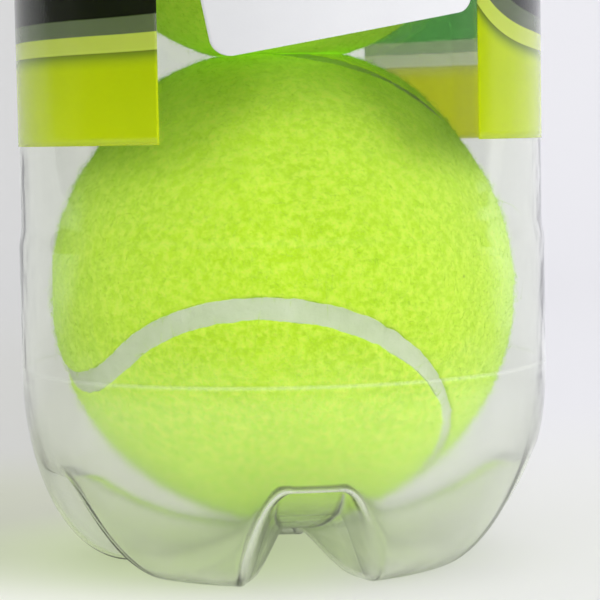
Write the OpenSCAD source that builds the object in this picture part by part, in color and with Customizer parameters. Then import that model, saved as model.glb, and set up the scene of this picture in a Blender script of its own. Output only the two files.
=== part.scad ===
// Pressurised can of tennis balls: a clear blow-moulded can on five feet, closed by a seamed
// metal end with a tear panel and a pull ring, under a push-on cap, with three balls inside.
// Millimetres, +Z up, front is -Y. The origin is on the ground under the middle of the base.

/* [Balls] */
// Diameter of a ball over its felt
ball_d = 67; // [65:0.5:69]
// Felt cover with the cement under it
felt_t = 3.2; // [2.6:0.1:3.8]
// Wall of the hollow rubber core
core_wall = 3.5; // [3:0.1:4.2]
// Width of the cement seam between the two felt panels
seam_w = 2.2; // [1.6:0.1:3]
// Depth of the seam below the felt
seam_sink = 0.4; // [0.2:0.1:1]
// Bow of the seam line, in degrees: more gives the felt panels narrower waists
seam_bow = 9; // [6:1:20]
// Air between two stacked balls
ball_gap = 0.3; // [0.2:0.1:1]

/* [Can wall] */
// Wall of the clear can
wall = 0.5; // [0.4:0.05:0.7]
// Room between a ball and the can wall
ball_play = 3.5; // [3:0.1:5]
// Height of the top of the slightly wider lower band
band_top = 46; // [40:1:52]
// How far the lower band stands out
band_out = 0.4; // [0.2:0.1:0.8]

/* [Base] */
// Height where the feet run into the round wall
heel_h = 28; // [26:1:32]
// Height of the middle of the underside
dome_h = 5; // [4:0.5:7]
// Distance of the foot pads from the axis
pad_r = 21; // [19:0.5:23]
// Width of a foot pad
pad_w = 3; // [2:0.5:4]
// Half angle of a valley between two feet, at the ground
valley_low = 16.5; // [14:0.5:19]
// Half angle of a valley at its upper end
valley_high = 5.5; // [5:0.5:8]
// Half of the angle that a valley's side wall takes up
valley_side = 4; // [2:0.5:4.5]
// Turn of the front valley from the front
valley_turn = 7; // [-36:1:36]

/* [Metal end] */
// Sheet of the seamed ring and the tear panel
sheet = 0.25; // [0.2:0.01:0.3]
// Air between the top ball and the tear panel
headspace = 1; // [0.8:0.1:3]
// Height of the seam
seam_h = 3; // [2.8:0.1:3.4]
// Depth of the tear panel's edge below the top of the seam
end_sink = 4.2; // [4:0.1:6]
// Depth of the groove round the tear panel
groove_h = 1.8; // [1.4:0.1:2.4]
// Width of the groove round the tear panel
groove_w = 1.75; // [1.5:0.05:2]
// Step from the tear panel's edge down to its middle
panel_step = 0.5; // [0.3:0.05:0.8]
// Width of the tear panel's raised edge
panel_rim = 3.2; // [2.8:0.1:3.6]
// Gap of the score line round the tear panel
score = 0.3; // [0.25:0.05:0.5]

/* [Pull ring] */
// Length of the pull ring
tab_l = 26.5; // [24:0.5:28]
// Width of the pull ring
tab_w = 19; // [17:0.5:21]
// Thickness of the curled edge
tab_curl = 1.8; // [1.4:0.1:2]
// Diameter of the finger hole
finger_d = 11; // [9:0.5:12]
// Width of the riveted tongue
tongue_w = 6; // [5:0.2:6.4]
// Diameter of the rivet's head
rivet_d = 5; // [4:0.2:5]

/* [Cap] */
// Wall of the cap's skirt
cap_wall = 0.8; // [0.6:0.1:1.2]
// Plate of the cap
cap_plate = 1; // [0.8:0.1:1.5]
// Height of the skirt below the top of the seam
cap_skirt = 9; // [7:0.5:12]

/* [Labels] */
// Height of the labels' lower edge
label_foot = 60.5; // [54:0.5:70]
// Bare wall between the labels and the seam
label_head = 10; // [6:1:20]
// Film of the labels and paper of the sticker
film = 0.1; // [0.08:0.01:0.15]
// Start of the right label, from the front
right_from = 45.2; // [45:0.1:60]
// Angle that the right label takes up
right_wide = 113.6; // [90:0.1:115]
// Start of the left label, from the front
left_from = 24.3; // [20:0.1:35]
// Angle that the left label takes up
left_wide = 106; // [90:1:110]
// Width of the price sticker
sticker_w = 36; // [30:0.5:36.5]
// Height of the price sticker
sticker_h = 28; // [22:1:32]
// Height of the middle of the sticker's lower edge
sticker_foot = 74.5; // [72:0.5:90]
// Lean of the sticker
sticker_lean = 10; // [0:1:12]

/* [Hidden] */
$fn = 128;
ball_count = 3;
foot_count = 5;

// Balls
ball_r = ball_d / 2;
core_r = ball_r - felt_t;
ball_pitch = ball_d + ball_gap;
seat_gap = 0.3;                    // between the lowest ball and the base
cement = 0.12;                     // between the core and the felt or the seam
ball_z1 = dome_h + wall + seat_gap + ball_r;
function ball_z(k) = ball_z1 + (k - 1) * ball_pitch;
balls_top = ball_z(ball_count) + ball_r;
seam_air = 0.06;                   // between the seam and a felt panel
seam_step = 0.04;                  // the lower arcs are this much narrower than the upper ones
// The seam is four arcs of circles seen from the ball's middle. seam_in and seam_out are the
// half angles of the cones that bound a felt panel's lobes and its neighbour's waist.
seam_mid = acos(cos(45) * cos(seam_bow));
function lobe_angle(gap) = seam_mid - asin(gap / ball_d);
function waist_angle(gap) = acos(cos(seam_bow) * sin(acos(cos(lobe_angle(gap)) / cos(seam_bow))));
ball_turns = [[65, 29, 31], [20, 140, 75], [35, 250, 110]];

// Can
can_in = ball_r + ball_play;       // inner radius of the straight wall
can_r = can_in + wall;
band_r = can_r + band_out;
band_ramp = 3;
lap = 0.05;                        // step where the base runs up inside the round wall
lap_h = 0.4;
pad_out = pad_r + pad_w / 2;
pad_in = pad_r - pad_w / 2;

// Seamed end, upward from the tear panel
seam_air_r = 0.05;                 // between two layers of the seam
seam_round = 0.55;                 // outer radius of the seam's top edges
panel_low = balls_top + headspace; // underside of the panel's middle
panel_z = panel_low + panel_step;  // underside of the panel's edge
seam_top = panel_z + sheet + end_sink;
seam_low = seam_top - seam_h;
chuck_r = can_in - seam_air_r;     // outer face of the wall inside the can
hook_in = can_r + seam_air_r;
hook_out = hook_in + sheet;
flange_t = 0.4;
flange_in = hook_out + seam_air_r;
flange_out = flange_in + flange_t;
seam_r = flange_out + seam_air_r + sheet;
compound_t = 0.3;
flange_top = seam_top - sheet - compound_t;
flange_low = seam_low + sheet + 0.15;
hook_top = flange_top - flange_t - 0.15;
groove_in = chuck_r - groove_w;    // inner face of the groove's inner wall
mouth_r = groove_in - 0.5;         // the hole that opens when the panel is torn out
panel_r = mouth_r - score;

// Pull ring, lying toward the front
tab_gap = 0.3;
curl_r = tab_curl / 2;
nose_y = -(panel_r - 0.5 - curl_r);
tab_mid_y = nose_y + (tab_l - tab_curl) / 2;
tab_z = panel_z + sheet + tab_gap + curl_r;
tab_plate = 0.35;
rivet_y = nose_y + curl_r + 5.1;
boss_r = tongue_w / 2;
boss_slope = 0.6;
tongue_front = -rivet_y + 3.4;
tongue_back = -rivet_y - 4;
tongue_gap = 0.4;
well_r = 7.6;
well_slope = 2;
well_deep = 0.6;
well_y = nose_y + 22.1;
bead_in = 19;
bead_out = 21.6;
bead_deep = 0.5;

// Cap
cap_air = 0.2;                     // between the seam and the cap's plate
cap_in = seam_r + 0.45;
snap_in = seam_r + 0.25;
cap_out = cap_in + cap_wall;
cap_low = seam_top - cap_skirt;
cap_top = seam_top + cap_air + cap_plate;
cap_rim_h = 0.8;
cap_rim_w = 1.6;
cap_lip = 0.5;

// Labels
glue = 0.03;
label_r = can_r + glue;
label_top = seam_low - label_head;
sticker_round = 2.5;
sticker_turn = 15.75;

function ball_nodes(k) = [for (p = ["core_lower", "core_upper", "felt_a", "felt_b", "seam"])
    str("ball_", k, "_", p)];

// ---------------------------------------------------------------- helpers

function mix(a, b, t) = a + (b - a) * t;
function swell(t) = (1 - cos(180 * t)) / 2;

// Points along a smooth step from a to b, both [radius, height]
function step_line(a, b, n = 6) = [for (i = [0:n]) [mix(a[0], b[0], i / n), mix(a[1], b[1], swell(i / n))]];

// Points along a pressed bead from radius a to b that dips by deep below height z
function bead_line(a, b, z, deep, n = 8) =
    [for (i = [0:n]) [mix(a, b, i / n), z - deep * (1 - cos(360 * i / n)) / 2]];

// Sheet metal of thickness t on top of a line of [radius, height]
module pressed(line, t) {
    n = len(line);
    rotate_extrude()
        polygon(concat(line, [for (i = [n - 1:-1:0]) line[i] + [0, t]]));
}

// Ring of revolution with a rectangular section
module ring(r_in, r_out, z_low, z_high) {
    translate([0, 0, z_low])
        difference() {
            cylinder(r = r_out, h = z_high - z_low);
            translate([0, 0, -1]) cylinder(r = r_in, h = z_high - z_low + 2);
        }
}

// Section from x0 to x1 and y0 to y1 whose two upper corners are rounded by r
module round_top(x0, x1, y0, y1, r) {
    translate([x0, y0]) square([x1 - x0, y1 - r - y0]);
    translate([x0 + r, y0]) square([x1 - x0 - 2 * r, y1 - y0]);
    for (x = [x0 + r, x1 - r]) translate([x, y1 - r]) circle(r = r, $fn = 48);
}

// ---------------------------------------------------------------- can

// One azimuth line of the base, as [side, share, weight]: side 0 crosses the valley floor,
// 1 the valley's side wall and 2 the foot. Weight is 0 in a valley and 1 on a foot.
valley_lines = [for (i = [0:1]) [0, i / 2, 0]];
wall_lines = [for (i = [0:5]) [1, i / 5, swell(i / 5)]];
foot_lines = [for (i = [1:5]) [2, i / 5, 1]];
half_lines = concat(valley_lines, wall_lines, foot_lines);
half_n = len(half_lines);
period_lines = concat(
    [for (i = [0:half_n - 1]) [half_lines[i], 1]],
    [for (i = [half_n - 2:-1:1]) [half_lines[i], -1]]);
period_n = len(period_lines);
around = period_n * foot_count;
period = 360 / foot_count;

side_rows = 12;
under_rows = 7;
valley_start = 0.15;               // share of the side's rows above the valleys
valley_full = 0.7;                 // share at which the valleys reach their full depth
rows = side_rows + 1 + under_rows; // the first ring is lifted into the round wall

// Radius of the base where it meets the round wall. off is 0 outside the wall and the
// wall's thickness on its inner face, here and below.
function heel_r(off) = off == 0 ? band_r - lap : band_r - wall + 2 * lap;

// Height of the valley floor at radius r
function valley_z(r, off) =
    heel_h - (heel_h - dome_h - off) * sqrt(1 - pow(r / heel_r(off), 2));

// Section through a foot: a quarter ellipse from the wall to the pad, the flat pad, then a
// swelling line up to the middle of the underside
function foot_point(row, off) =
    row <= side_rows
        ? [pad_out + (heel_r(off) - pad_out) * cos(90 * row / side_rows),
           heel_h - (heel_h - off) * sin(90 * row / side_rows)]
        : let (q = (row - side_rows - 1) / under_rows)
          [pad_in * (1 - q), off + dome_h * swell(q)];

// Section through a valley: an ellipse from the wall to the middle of the underside
function valley_point(row, off) =
    let (r = row <= side_rows
        ? heel_r(off) * cos(row / side_rows * acos(pad_out / heel_r(off)))
        : foot_point(row, off)[0])
    [r, valley_z(r, off)];

// Depth of the valleys at one row, from 0 at the heel to 1
function valley_depth(row) =
    swell(min(1, max(0, (row / side_rows - valley_start) / (valley_full - valley_start))));

// Angle between the valley's middle and one azimuth line at one row
function line_angle(line, row, off) =
    let (mid = mix(valley_high, valley_low, min(1, row / side_rows)),
         r = max(foot_point(row, off)[0], 4),
         shift = off / r * 180 / PI,
         low = mid - valley_side + shift,
         high = mid + valley_side + shift)
    line[0] == 0 ? low * line[1]
    : line[0] == 1 ? mix(low, high, line[1])
    : mix(high, period / 2, line[1]);

function base_point(i, row, off) =
    let (entry = period_lines[i % period_n],
         turn = entry[1] > 0 ? 0 : period,
         a = valley_turn - 90 + floor(i / period_n) * period + turn
             + entry[1] * line_angle(entry[0], row, off),
         p = mix(foot_point(row, off), valley_point(row, off),
                 (1 - entry[0][2]) * valley_depth(row)))
    [p[0] * cos(a), p[0] * sin(a), row == 0 ? heel_h + lap_h : p[1]];

// Two triangles for each cell of the grid of rings that starts at point number first
function grid_faces(first, flip) = [for (row = [0:rows - 2], i = [0:around - 1])
    let (a = first + row * around + i,
         b = first + row * around + (i + 1) % around)
    each (flip
        ? [[a, a + around, b + around], [a, b + around, b]]
        : [[a, b + around, a + around], [a, b, b + around]])];

// Triangles from the last ring of a grid to the point in its middle
function fan_faces(first, middle, flip) = [for (i = [0:around - 1])
    let (a = first + (rows - 1) * around + i,
         b = first + (rows - 1) * around + (i + 1) % around)
    flip ? [a, middle, b] : [a, b, middle]];

// Triangles of the rim that joins the first rings of the outer and the inner grid
function rim_faces(second) = [for (i = [0:around - 1])
    let (j = (i + 1) % around)
    each [[i, second + i, second + j], [i, second + j, j]]];

module base_shell() {
    second = rows * around;
    middle = 2 * second;
    polyhedron(
        points = concat(
            [for (off = [0, wall], row = [0:rows - 1], i = [0:around - 1]) base_point(i, row, off)],
            [[0, 0, dome_h], [0, 0, dome_h + wall]]),
        faces = concat(
            grid_faces(0, false), grid_faces(second, true),
            fan_faces(0, middle, false), fan_faces(second, middle + 1, true),
            rim_faces(second)),
        convexity = 6);
}

// Round wall above the feet, with the flange that is hooked into the seam
module can_wall() {
    outer = concat([[band_r, heel_h]],
        step_line([band_r, band_top], [can_r, band_top + band_ramp]),
        [[can_r, flange_top]]);
    inner = [for (i = [len(outer) - 1:-1:0]) outer[i] - [wall, 0]];
    rotate_extrude() {
        polygon(concat(outer, inner));
        translate([can_r - wall / 2, flange_top - flange_t])
            square([flange_out - can_r + wall / 2, flange_t]);
        translate([flange_in, flange_low]) square([flange_t, flange_top - flange_low]);
    }
}

module can_body() {
    color([0.86, 0.9, 0.9, 0.4]) {
        base_shell();
        can_wall();
    }
}

// Film on the can between two directions given from the front, positive toward +X
module film_sheet(from, to, z_low, z_high) {
    rotate([0, 0, from - 90])
        translate([0, 0, z_low])
            rotate_extrude(angle = to - from)
                translate([label_r, 0]) square([film, z_high - z_low]);
}

module label_left() {
    color([0.62, 0.73, 0.05]) film_sheet(-left_from - left_wide, -left_from, label_foot, label_top);
}

module label_right() {
    color([0.72, 0.85, 0.2]) film_sheet(right_from, right_from + right_wide, label_foot, label_top);
}

// Paper sticker with round corners, wrapped on the wall over the clear front window
module price_sticker() {
    w = sticker_w / 2 - sticker_round;
    color([0.93, 0.93, 0.93])
        intersection() {
            ring(label_r, label_r + film, label_foot, label_top);
            rotate([0, 0, sticker_turn])
                translate([0, 0, sticker_foot])
                    rotate([90, -sticker_lean, 0])
                        linear_extrude(height = can_r + 5) {
                            translate([-sticker_w / 2, sticker_round])
                                square([sticker_w, sticker_h - 2 * sticker_round]);
                            translate([-w, 0]) square([2 * w, sticker_h]);
                            for (x = [-w, w], y = [sticker_round, sticker_h - sticker_round])
                                translate([x, y]) circle(r = sticker_round);
                        }
        }
}

// ---------------------------------------------------------------- metal end

// Everything of the end outside the score line: seam, wall inside the can and groove
module end_ring() {
    groove_low = panel_z + sheet - groove_h;
    color([0.78, 0.79, 0.8])
        rotate_extrude() {
            difference() {
                round_top(chuck_r - sheet, seam_r, seam_low, seam_top, seam_round);
                round_top(chuck_r, seam_r - sheet, seam_low - 1, seam_top - sheet, seam_round - sheet);
            }
            translate([hook_in, seam_low]) square([seam_r - hook_in, sheet]);
            translate([hook_in, seam_low]) square([sheet, hook_top - seam_low]);
            translate([chuck_r - sheet, groove_low + 0.6])
                square([sheet, seam_low - groove_low]);
            translate([groove_in, groove_low + 0.6])
                square([sheet, panel_z + sheet - groove_low - 0.6]);
            translate([mouth_r, panel_z]) square([groove_in + sheet - mouth_r, sheet]);
            translate([0, groove_low + 0.6])
                intersection() {
                    translate([groove_in, -1]) square([chuck_r - groove_in, 1]);
                    mirror([0, 1])
                        difference() {
                            round_top(groove_in, chuck_r, -1, 0.6, 0.6);
                            round_top(groove_in + sheet, chuck_r - sheet, -2, 0.6 - sheet, 0.6 - sheet);
                        }
                }
        }
}

// Soft ring that makes the seam gas-tight, under the flat part of the seam's top
module sealing_compound() {
    corner = seam_round - sheet;
    color([0.55, 0.55, 0.5])
        ring(chuck_r + corner, seam_r - sheet - corner, flange_top, flange_top + compound_t);
}

module tear_panel() {
    mid_line = concat(
        [[0, panel_low]],
        bead_line(bead_in, bead_out, panel_low, bead_deep),
        step_line([panel_r - panel_rim - panel_step, panel_low], [panel_r - panel_rim, panel_z]),
        [[panel_r, panel_z]]);
    color([0.82, 0.83, 0.84]) {
        difference() {
            pressed(mid_line, sheet);
            translate([0, well_y, panel_low - 1]) cylinder(r = well_r, h = 3);
            translate([0, rivet_y, panel_low - 1]) cylinder(r = boss_r + boss_slope, h = 3);
        }
        // Finger well under the ring
        translate([0, well_y, 0])
            pressed(concat([[0, panel_low - well_deep]],
                step_line([well_r - well_slope, panel_low - well_deep], [well_r, panel_low])), sheet);
        // Boss and rivet, drawn up from the panel's own sheet
        translate([0, rivet_y, 0]) {
            pressed(concat([[0, panel_z]],
                step_line([boss_r, panel_z], [boss_r + boss_slope, panel_low])), sheet);
            translate([0, 0, panel_z + sheet]) {
                cylinder(r = rivet_d * 0.3, h = tab_plate + 0.05);
                translate([0, 0, tab_plate + 0.05]) cylinder(r1 = rivet_d / 2, r2 = rivet_d * 0.42, h = 0.4);
            }
        }
    }
}

// Tongue of the pull ring that stays under the rivet
module tab_tongue() {
    color([0.7, 0.71, 0.72])
        translate([0, 0, panel_z + sheet])
            difference() {
                translate([-tongue_w / 2, -tongue_front, 0])
                    cube([tongue_w, tongue_front - tongue_back, tab_plate]);
                translate([0, rivet_y, -1]) cylinder(r = rivet_d * 0.3 + 0.05, h = 2);
            }
}

// Egg-shaped outline of the pull ring: its middle line, inset by inset
function egg(a, inset) =
    [(tab_w / 2 - curl_r - inset) * 0.97 * sin(a) * (1 + 0.25 * cos(a)),
     tab_mid_y + ((tab_l - tab_curl) / 2 - inset) * cos(a)];

// Curled edge: a round tube that follows the egg
module curled_edge(n = 48, m = 12) {
    function tube_point(i, j) =
        let (p = egg(360 * i / n, 0),
             d = egg(360 * (i + 0.5) / n, 0) - egg(360 * (i - 0.5) / n, 0),
             out = [d[1], -d[0]] / norm(d),
             q = p + out * curl_r * cos(360 * j / m))
        [q[0], q[1], curl_r * sin(360 * j / m)];
    polyhedron(
        points = [for (i = [0:n - 1], j = [0:m - 1]) tube_point(i, j)],
        faces = [for (i = [0:n - 1], j = [0:m - 1])
            let (a = i * m + j, b = i * m + (j + 1) % m,
                 c = ((i + 1) % n) * m + j, d = ((i + 1) % n) * m + (j + 1) % m)
            each [[a, b, d], [a, d, c]]],
        convexity = 4);
}

module pull_ring() {
    color([0.75, 0.76, 0.77])
        translate([0, 0, tab_z]) {
            curled_edge();
            translate([0, 0, -tab_plate / 2])
                difference() {
                    linear_extrude(height = tab_plate)
                        polygon([for (i = [0:47]) egg(7.5 * i, 0)]);
                    translate([0, nose_y + tab_l - tab_curl - curl_r - 0.6 - finger_d / 2, -1])
                        cylinder(d = finger_d, h = 2);
                    translate([-tongue_w / 2 - tongue_gap, -tongue_front - tongue_gap, -1])
                        cube([tongue_w + 2 * tongue_gap, tongue_front - tongue_back + 2 * tongue_gap, 2]);
                }
        }
}

// ---------------------------------------------------------------- cap

module overcap() {
    snap_z = seam_low - 0.3;
    plate_z = seam_top + cap_air;
    rim_r = cap_out - 1;
    color([0.9, 0.92, 0.9, 0.7])
        rotate_extrude() {
            translate([0, plate_z]) square([cap_in, cap_plate]);
            difference() {
                round_top(cap_in - 2, cap_out, cap_low, cap_top, cap_wall * 0.9);
                translate([cap_in - 3, cap_low - 1]) square([3, plate_z - cap_low + 1]);
            }
            // Raised rim that keeps a stacked can in place
            round_top(rim_r - cap_rim_w, rim_r, plate_z + cap_plate / 2, cap_top + cap_rim_h, 0.4);
            // Snap bead under the seam
            polygon([[cap_in + 0.2, snap_z], [snap_in, snap_z - 0.3],
                     [snap_in, snap_z - 0.5], [cap_in + 0.2, snap_z - 1.2]]);
            // Lip round the lower edge
            polygon([[cap_out - 0.2, cap_low], [cap_out + cap_lip, cap_low],
                     [cap_out + cap_lip, cap_low + 0.6], [cap_out - 0.2, cap_low + 1.3]]);
        }
}

// ---------------------------------------------------------------- balls

// Cone from the ball's middle, half angle given, along the x or y axis tilted up by lift
module seam_cone(turn, lift, half) {
    h = ball_d;
    rotate([0, 0, turn]) rotate([0, 90 - lift, 0]) cylinder(r1 = 0, r2 = h * tan(half), h = h);
}

// Two opposite cones
module cone_pair(turn, lift, half) {
    for (t = [turn, turn + 180]) seam_cone(t, lift, half);
}

module half_space(up) {
    translate([-ball_d, -ball_d, up ? 0 : -2 * ball_d]) cube(2 * ball_d);
}

// Hollow sphere whose poles lie along the x or y axis, clear of the faces cut from it
module ball_shell(r_in, r_out, pole) {
    rotate([0, 90, pole])
        difference() {
            sphere(r = r_out);
            sphere(r = r_in);
        }
}

// Felt panel a: waist on the upper half, lobes on the lower half
module felt_panel() {
    difference() {
        intersection() {
            ball_shell(core_r + cement, ball_r, 90);
            half_space(true);
        }
        cone_pair(90, seam_bow, waist_angle(seam_w));
    }
    intersection() {
        ball_shell(core_r + cement, ball_r, 90);
        half_space(false);
        cone_pair(0, -seam_bow, lobe_angle(seam_w + seam_step));
    }
}

// Half of the band of cement between the panels
module seam_half(up, w) {
    turn = up ? 90 : 0;
    lift = up ? seam_bow : -seam_bow;
    intersection() {
        ball_shell(core_r + cement, ball_r - seam_sink, 180);
        half_space(up);
        difference() {
            cone_pair(turn, lift, waist_angle(w));
            cone_pair(turn, lift, lobe_angle(w));
        }
    }
}

module seam_band() {
    air = seam_w - 2 * seam_air;
    seam_half(true, air);
    seam_half(false, air - seam_step);
}

// Half of the rubber core
module core_half(up) {
    intersection() {
        ball_shell(core_r - core_wall, core_r, 0);
        half_space(up);
    }
}

module ball_piece(k, piece) {
    translate([0, 0, ball_z(k)])
        rotate(ball_turns[k - 1]) {
            if (piece == "core_lower") color([0.3, 0.3, 0.32]) core_half(false);
            if (piece == "core_upper") color([0.36, 0.36, 0.38]) core_half(true);
            if (piece == "felt_a") color([0.78, 0.93, 0.22]) felt_panel();
            if (piece == "felt_b") color([0.74, 0.9, 0.2]) rotate([180, 0, 90]) felt_panel();
            if (piece == "seam") color([0.76, 0.83, 0.62]) seam_band();
        }
}

// ---------------------------------------------------------------- assembly

can_body();
label_left();
label_right();
price_sticker();
end_ring();
sealing_compound();
tear_panel();
tab_tongue();
pull_ring();
overcap();
for (k = [1:ball_count], p = ["core_lower", "core_upper", "felt_a", "felt_b", "seam"])
    ball_piece(k, p);
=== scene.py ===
import math

import bpy
import numpy as np
from mathutils import Matrix, Vector


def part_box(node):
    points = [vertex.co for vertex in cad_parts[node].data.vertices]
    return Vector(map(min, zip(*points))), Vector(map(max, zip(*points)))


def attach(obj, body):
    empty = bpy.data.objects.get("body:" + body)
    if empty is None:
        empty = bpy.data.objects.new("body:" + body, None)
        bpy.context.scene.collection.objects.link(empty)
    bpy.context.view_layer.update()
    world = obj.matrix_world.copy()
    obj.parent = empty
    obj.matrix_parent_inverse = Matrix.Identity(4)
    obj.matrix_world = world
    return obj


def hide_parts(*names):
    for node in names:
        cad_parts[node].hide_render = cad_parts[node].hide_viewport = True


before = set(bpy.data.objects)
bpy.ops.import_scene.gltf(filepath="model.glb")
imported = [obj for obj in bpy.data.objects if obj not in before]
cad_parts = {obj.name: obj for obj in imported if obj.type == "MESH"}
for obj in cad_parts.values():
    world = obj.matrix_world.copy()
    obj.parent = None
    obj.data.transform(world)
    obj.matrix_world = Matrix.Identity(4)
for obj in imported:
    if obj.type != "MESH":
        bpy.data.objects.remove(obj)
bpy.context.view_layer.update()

# ---------------------------------------------------------------- table and light
# The can stands on a pale matte table that sweeps up into a pale wall far behind it. Wide
# soft lamps stand beside it and in front, one hangs over it, and a grey room fills in.

MM = 0.001
TABLE_HALF = 1.8
TABLE_FRONT = -1.4
WALL_START = 0.55
WALL_RADIUS = 0.45
WALL_TOP = 2.2
# Painted light: a pool of green glow on the table under the balls, and the share of the table's own tone that
# glows when seen straight on or through the can
SPILL_PLACE = (-14 * MM, 8 * MM, 0)
SPILL_EDGE, SPILL_FULL = 48 * MM, 16 * MM
PAINTED_POOL_COLOUR = (0.66, 0.76, 0.46, 1)
PAINTED_GLOW_SHARE = 0.58
DIM_START, DIM_FULL = 0.12, 0.45
DIM_COLOUR = (0.03, 0.03, 0.03, 1)


def grid_faces(rows, cols, around, base=0):
    """Quads between neighbouring points of a grid; around joins the last column to the first."""
    r = np.arange(rows - 1)[:, None]
    c = np.arange(cols if around else cols - 1)[None, :]
    n = (c + 1) % cols
    quads = np.stack([r * cols + c, r * cols + n, (r + 1) * cols + n, (r + 1) * cols + c], -1)
    return quads.reshape(-1, 4) + base


def new_piece(name, points, faces, smooth=True):
    """A mesh object at the origin from points in metres and lists of faces of 3 or 4 corners."""
    loops = np.concatenate([np.asarray(f).ravel() for f in faces]).astype(np.int32)
    sizes = np.concatenate([np.full(len(f), len(f[0])) for f in faces])
    mesh = bpy.data.meshes.new(name)
    mesh.vertices.add(len(points))
    mesh.vertices.foreach_set("co", np.asarray(points, np.float32).ravel())
    mesh.loops.add(len(loops))
    mesh.loops.foreach_set("vertex_index", loops)
    mesh.polygons.add(len(sizes))
    mesh.polygons.foreach_set("loop_start", (np.cumsum(sizes) - sizes).astype(np.int32))
    mesh.update(calc_edges=True)
    mesh.validate()
    mesh.polygons.foreach_set("use_smooth", np.full(len(mesh.polygons), smooth))
    piece = bpy.data.objects.new(name, mesh)
    bpy.context.scene.collection.objects.link(piece)
    return piece


def new_material(name):
    """An empty node material, its tree and its output."""
    material = bpy.data.materials.new(name)
    material.use_nodes = True
    tree = material.node_tree
    tree.nodes.clear()
    return material, tree, tree.nodes.new("ShaderNodeOutputMaterial")


def node(tree, kind, *inputs, **settings):
    """A node of that kind: settings are its properties, inputs are (socket, value or socket)."""
    made = tree.nodes.new("ShaderNode" + kind)
    for key, value in settings.items():
        setattr(made, key, value)
    for socket, value in inputs:
        if isinstance(value, bpy.types.NodeSocket):
            tree.links.new(value, made.inputs[socket])
        else:
            made.inputs[socket].default_value = value
    return made


def noise(tree, place, scale, detail=2.0, roughness=0.5):
    """Soft fractal noise at a place, from 0 to 1."""
    return node(tree, "TexNoise", ("Vector", place), ("Scale", scale), ("Detail", detail),
                ("Roughness", roughness)).outputs["Fac"]


def maths(tree, operation, *values):
    """One operation on one or two numbers or sockets."""
    return node(tree, "Math", *enumerate(values), operation=operation).outputs[0]


def between(tree, value, start, end, low=0.0, high=1.0, ease="LINEAR"):
    """low where value is before start, high where it is past end, and a ramp between the two."""
    return node(tree, "MapRange", ("Value", value), ("From Min", start), ("From Max", end), ("To Min", low),
                ("To Max", high), interpolation_type=ease).outputs["Result"]


def blend(tree, share, under, over):
    """The colour under where share is 0, over where it is 1, and their mix between."""
    return node(tree, "Mix", ("Factor", share), (6, under), (7, over), data_type="RGBA").outputs[2]


def new_group(name, inputs, outputs):
    """An empty shader node group from (name, kind of socket) pairs, with its input and output nodes."""
    group = bpy.data.node_groups.new(name, "ShaderNodeTree")
    for direction, sockets in (("INPUT", inputs), ("OUTPUT", outputs)):
        for label, kind in sockets:
            group.interface.new_socket(name=label, in_out=direction, socket_type="NodeSocket" + kind)
    return group, group.nodes.new("NodeGroupInput").outputs, group.nodes.new("NodeGroupOutput").inputs


def relief_group():
    """Noise at a place that raises the surface: it gives the bent normal and the noise itself."""
    group, given, result = new_group("relief", (("Place", "Vector"), ("Scale", "Float"), ("Detail", "Float"),
                                                ("Strength", "Float"), ("Depth", "Float")),
                                     (("Normal", "Vector"), ("Height", "Float")))
    height = noise(group, given["Place"], given["Scale"], given["Detail"])
    bump = node(group, "Bump", ("Strength", given["Strength"]), ("Distance", given["Depth"]),
                ("Height", height))
    group.links.new(bump.outputs["Normal"], result["Normal"])
    group.links.new(height, result["Height"])
    return group


relief_nodes = relief_group()


def relief(tree, place, scale, detail, strength, depth):
    """Sockets Normal and Height of a relief group placed in a material."""
    return node(tree, "Group", ("Place", place), ("Scale", scale), ("Detail", detail),
                ("Strength", strength), ("Depth", depth), node_tree=relief_nodes).outputs


def swept_table():
    """Flat floor that bends up through a quarter circle into a wall, as one sheet."""
    bend = np.linspace(0, math.pi / 2, 17)
    y = np.concatenate([[TABLE_FRONT, -0.3], WALL_START + WALL_RADIUS * np.sin(bend),
                        [WALL_START + WALL_RADIUS]])
    z = np.concatenate([[0, 0], WALL_RADIUS * (1 - np.cos(bend)), [WALL_TOP]])
    x = np.array([-TABLE_HALF, TABLE_HALF])
    points = np.stack([np.broadcast_to(x, (len(y), 2)), np.repeat(y[:, None], 2, 1),
                       np.repeat(z[:, None], 2, 1)], -1)
    return points.reshape(-1, 3), [grid_faces(len(y), 2, False)]


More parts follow.
